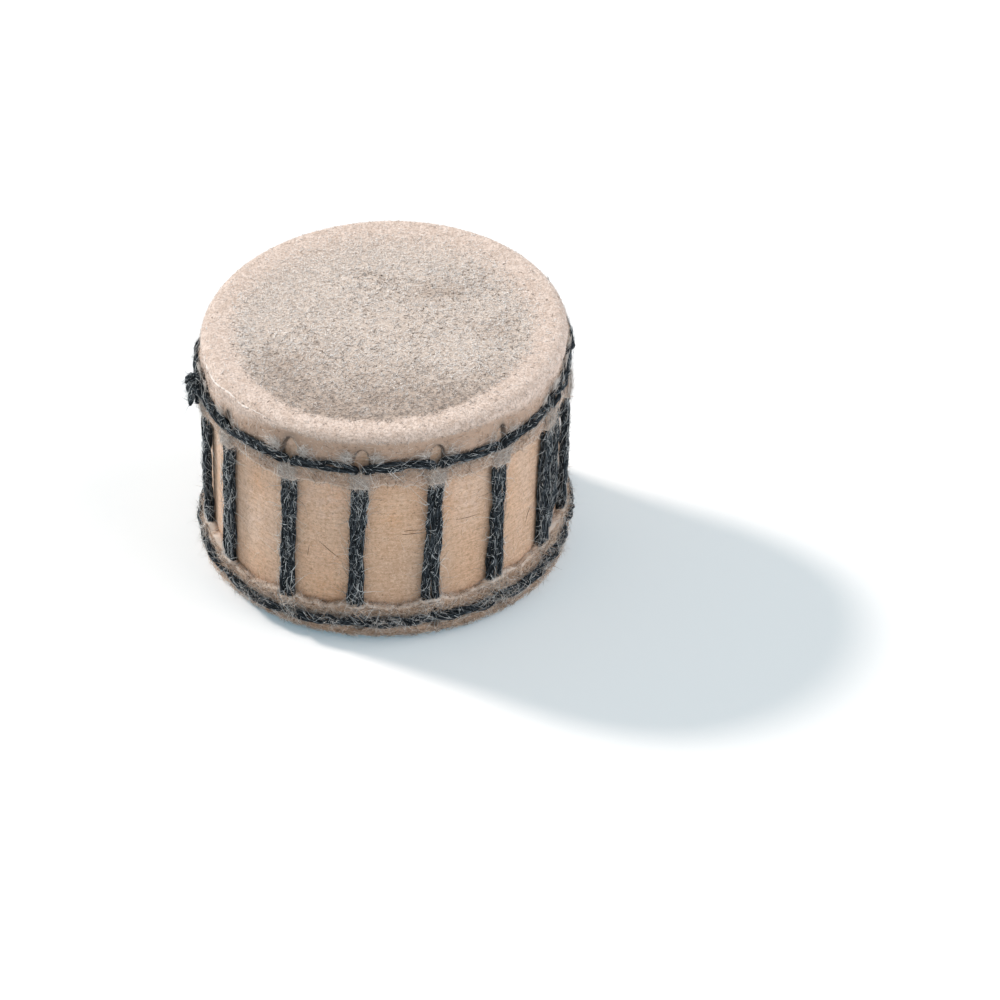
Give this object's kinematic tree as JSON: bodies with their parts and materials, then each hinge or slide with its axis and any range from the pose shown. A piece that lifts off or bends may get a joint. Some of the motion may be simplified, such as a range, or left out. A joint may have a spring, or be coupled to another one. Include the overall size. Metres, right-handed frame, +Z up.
{
  "type": "rattle drum",
  "caption": "Small hand shaker shaped as a drum: bamboo tube, hide heads laced together with yarn, and loose seeds inside.",
  "frame": {"origin": "middle of the flat face of the lower head, on which the drum stands", "axes": "+Z up along the drum's axis, the front of the picture is -Y, and the yarn's knot is on the -X side"},
  "size_m": [0.0823, 0.0826, 0.055],
  "materials": {
    "bamboo": "scraped bare bamboo, dry and matt, with fine turning lines",
    "top_skin": "raw goat hide, short pale hair on the head, worn pinkish rim",
    "bottom_skin": "raw goat hide, browner and fuzzier",
    "yarn": "loose black wool yarn with stray pale hairs",
    "seed": "hard dark brown seed, slightly polished"
  },
  "bodies": {
    "drum": {"bamboo_shell": "bamboo", "top_hide": "top_skin", "bottom_hide": "bottom_skin", "lacing_yarn": "yarn", "lacing_knot": "yarn"},
    "seed_01": {"rattle_seed_01": "seed"},
    "seed_02": {"rattle_seed_02": "seed"},
    "seed_03": {"rattle_seed_03": "seed"},
    "seed_04": {"rattle_seed_04": "seed"},
    "seed_05": {"rattle_seed_05": "seed"},
    "seed_06": {"rattle_seed_06": "seed"},
    "seed_07": {"rattle_seed_07": "seed"},
    "seed_08": {"rattle_seed_08": "seed"},
    "seed_09": {"rattle_seed_09": "seed"},
    "seed_10": {"rattle_seed_10": "seed"},
    "seed_11": {"rattle_seed_11": "seed"},
    "seed_12": {"rattle_seed_12": "seed"},
    "seed_13": {"rattle_seed_13": "seed"},
    "seed_14": {"rattle_seed_14": "seed"},
    "seed_15": {"rattle_seed_15": "seed"},
    "seed_16": {"rattle_seed_16": "seed"},
    "seed_17": {"rattle_seed_17": "seed"},
    "seed_18": {"rattle_seed_18": "seed"}
  },
  "joints": [
    {"name": "seed_01_flight", "type": "slide", "parent": "drum", "child": "seed_01", "axis": [0, 0, 1], "range_m": [0, 0.0451]},
    {"name": "seed_02_flight", "type": "slide", "parent": "drum", "child": "seed_02", "axis": [0, 0, 1], "range_m": [0, 0.0455]},
    {"name": "seed_03_flight", "type": "slide", "parent": "drum", "child": "seed_03", "axis": [0, 0, 1], "range_m": [0, 0.0447]},
    {"name": "seed_04_flight", "type": "slide", "parent": "drum", "child": "seed_04", "axis": [0, 0, 1], "range_m": [0, 0.0455]},
    {"name": "seed_05_flight", "type": "slide", "parent": "drum", "child": "seed_05", "axis": [0, 0, 1], "range_m": [0, 0.0451]},
    {"name": "seed_06_flight", "type": "slide", "parent": "drum", "child": "seed_06", "axis": [0, 0, 1], "range_m": [0, 0.0449]},
    {"name": "seed_07_flight", "type": "slide", "parent": "drum", "child": "seed_07", "axis": [0, 0, 1], "range_m": [0, 0.0456]},
    {"name": "seed_08_flight", "type": "slide", "parent": "drum", "child": "seed_08", "axis": [0, 0, 1], "range_m": [0, 0.0447]},
    {"name": "seed_09_flight", "type": "slide", "parent": "drum", "child": "seed_09", "axis": [0, 0, 1], "range_m": [0, 0.0453]},
    {"name": "seed_10_flight", "type": "slide", "parent": "drum", "child": "seed_10", "axis": [0, 0, 1], "range_m": [0, 0.0453]},
    {"name": "seed_11_flight", "type": "slide", "parent": "drum", "child": "seed_11", "axis": [0, 0, 1], "range_m": [0, 0.0447]},
    {"name": "seed_12_flight", "type": "slide", "parent": "drum", "child": "seed_12", "axis": [0, 0, 1], "range_m": [0, 0.0456]},
    {"name": "seed_13_flight", "type": "slide", "parent": "drum", "child": "seed_13", "axis": [0, 0, 1], "range_m": [0, 0.0449]},
    {"name": "seed_14_flight", "type": "slide", "parent": "drum", "child": "seed_14", "axis": [0, 0, 1], "range_m": [0, 0.0451]},
    {"name": "seed_15_flight", "type": "slide", "parent": "drum", "child": "seed_15", "axis": [0, 0, 1], "range_m": [0, 0.0455]},
    {"name": "seed_16_flight", "type": "slide", "parent": "drum", "child": "seed_16", "axis": [0, 0, 1], "range_m": [0, 0.0447]},
    {"name": "seed_17_flight", "type": "slide", "parent": "drum", "child": "seed_17", "axis": [0, 0, 1], "range_m": [0, 0.0454]},
    {"name": "seed_18_flight", "type": "slide", "parent": "drum", "child": "seed_18", "axis": [0, 0, 1], "range_m": [0, 0.0452]}
  ]
}
